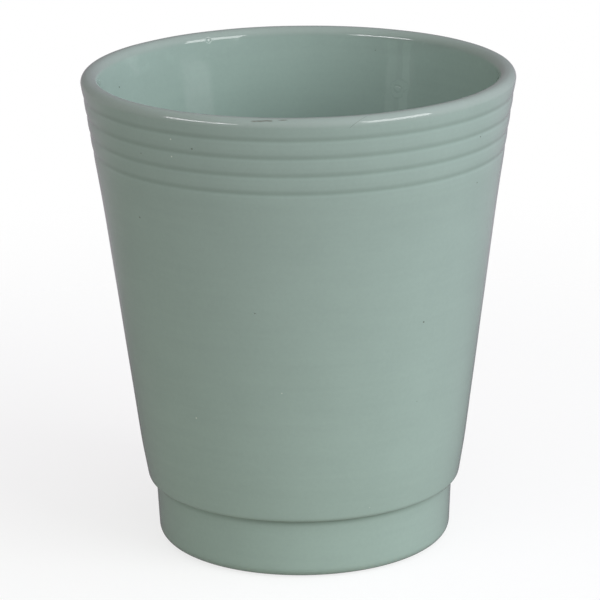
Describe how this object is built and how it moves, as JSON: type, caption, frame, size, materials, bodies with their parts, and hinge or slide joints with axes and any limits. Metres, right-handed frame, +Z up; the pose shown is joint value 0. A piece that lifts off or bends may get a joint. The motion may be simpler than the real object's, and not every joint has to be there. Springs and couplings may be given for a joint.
{
  "type": "brush pot",
  "caption": "Tapered glazed pottery pot for brushes or pens, with turned grooves under its lip, a foot set in under a soft ledge, and a bare clay ring to stand on.",
  "frame": {"origin": "on the pot's axis, at the surface it stands on", "axes": "+Z up along the pot's axis, out of its mouth; every section is turned about it, so +X and +Y are any two directions"},
  "size_m": [0.13, 0.13, 0.1454],
  "materials": {
    "clay": "fired cream earthenware, bare and matt on the ring that the pot stands on",
    "glaze": "grey-green glaze, satin to glossy, with faint orange peel, pinholes and a thin worn line on the lip",
    "base_glaze": "the same grey-green glaze, thinner and duller in the recess under the pot"
  },
  "bodies": {
    "root": {"clay_body": "clay", "glaze_coat": "glaze", "underside_glaze": "base_glaze"}
  },
  "joints": []
}
